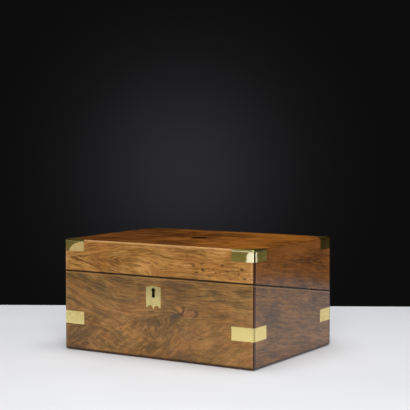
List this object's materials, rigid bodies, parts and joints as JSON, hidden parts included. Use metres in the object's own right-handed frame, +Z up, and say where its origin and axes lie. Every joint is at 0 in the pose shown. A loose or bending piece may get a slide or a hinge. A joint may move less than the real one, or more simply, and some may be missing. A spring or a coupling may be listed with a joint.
{
  "type": "writing box",
  "caption": "Brass-bound walnut writing box, cut on a slope so that the lid opens flat into a writing desk with two lifting flaps, pen tray and ink bottles.",
  "frame": {"origin": "middle of the underside, on the surface that the box stands on", "axes": "+X across the front to the right as seen from the lock side, +Y from the lock side to the hinge side, +Z up"},
  "size_m": [0.33, 0.2467, 0.169],
  "materials": {
    "walnut_veneer": "polished figured walnut",
    "flap_wood": "polished",
    "inner_wood": "satin mahogany",
    "writing_leather": "tooled writing leather",
    "tab_ribbon": "soft",
    "felt": "baize",
    "ink_glass": "clear",
    "ink_brass": "lacquered",
    "corner_brass": "worn polish",
    "lock_brass": "aged"
  },
  "bodies": {
    "base": {"base_felt": "felt", "bottom_board": "walnut_veneer", "base_front_board": "walnut_veneer", "base_back_board": "walnut_veneer", "base_left_board": "walnut_veneer", "base_right_board": "walnut_veneer", "strap_back_right": "corner_brass", "strap_back_left": "corner_brass", "strap_front_right": "corner_brass", "strap_front_left": "corner_brass", "escutcheon": "corner_brass", "lock_case": "lock_brass", "lock_cap": "lock_brass", "base_hinge_leaves": "lock_brass", "pen_divider": "inner_wood", "inkwell_partition_left": "inner_wood", "inkwell_floor_left": "inner_wood", "ink_bottle_left": "ink_glass", "inkwell_partition_right": "inner_wood", "inkwell_floor_right": "inner_wood", "ink_bottle_right": "ink_glass", "ink_collars": "ink_brass", "tray_ledges": "inner_wood", "pen_tray": "inner_wood", "base_flap_fixed_leaves": "lock_brass", "base_flap_ledges": "inner_wood"},
    "base_flap": {"base_flap_board": "flap_wood", "base_flap_leather": "writing_leather", "base_flap_tab": "tab_ribbon", "base_flap_moving_leaves": "lock_brass"},
    "lid": {"lid_top_board": "walnut_veneer", "lid_front_rail": "walnut_veneer", "lid_back_rail": "walnut_veneer", "lid_left_rail": "walnut_veneer", "lid_right_rail": "walnut_veneer", "lid_corner_back_right": "corner_brass", "lid_corner_back_left": "corner_brass", "lid_corner_front_right": "corner_brass", "lid_corner_front_left": "corner_brass", "lid_plate": "corner_brass", "link_plate": "lock_brass", "lid_hinge_leaves": "lock_brass", "lid_flap_fixed_leaves": "lock_brass", "lid_flap_ledges": "inner_wood"},
    "lid_flap": {"lid_flap_board": "flap_wood", "lid_flap_leather": "writing_leather", "lid_flap_tab": "tab_ribbon", "lid_flap_moving_leaves": "lock_brass"},
    "lock_bolt": {"lock_bolt": "lock_brass"},
    "ink_cap_left": {"ink_cap_left": "ink_brass"},
    "ink_cap_right": {"ink_cap_right": "ink_brass"}
  },
  "joints": [
    {"name": "lid_hinge", "type": "hinge", "parent": "base", "child": "lid", "pos_m": [0, 0.1235, 0.0845], "axis": [-1, 0, 0], "range_deg": [0, 180]},
    {"name": "base_flap_hinge", "type": "hinge", "parent": "base", "child": "base_flap", "pos_m": [0, 0.10935, 0.08365], "axis": [-1, 0, 0], "range_deg": [0, 60]},
    {"name": "lid_flap_hinge", "type": "hinge", "parent": "lid", "child": "lid_flap", "pos_m": [0, 0.10935, 0.08961], "axis": [1, 0, 0], "range_deg": [0, 60]},
    {"name": "lock_bolt_slide", "type": "slide", "parent": "base", "child": "lock_bolt", "axis": [1, 0, 0], "range_m": [0, 0.0046]},
    {"name": "ink_cap_left_turn", "type": "hinge", "parent": "base", "child": "ink_cap_left", "pos_m": [-0.1335, -0.089, 0.1], "axis": [0, 0, 1], "continuous": true},
    {"name": "ink_cap_right_turn", "type": "hinge", "parent": "base", "child": "ink_cap_right", "pos_m": [0.1335, -0.089, 0.1], "axis": [0, 0, 1], "continuous": true}
  ],
  "couplings": [
    {"joint": "base_flap_hinge", "follows": "lid_hinge", "ratio": 0.3333},
    {"joint": "lid_flap_hinge", "follows": "lid_hinge", "ratio": 0.3333}
  ]
}
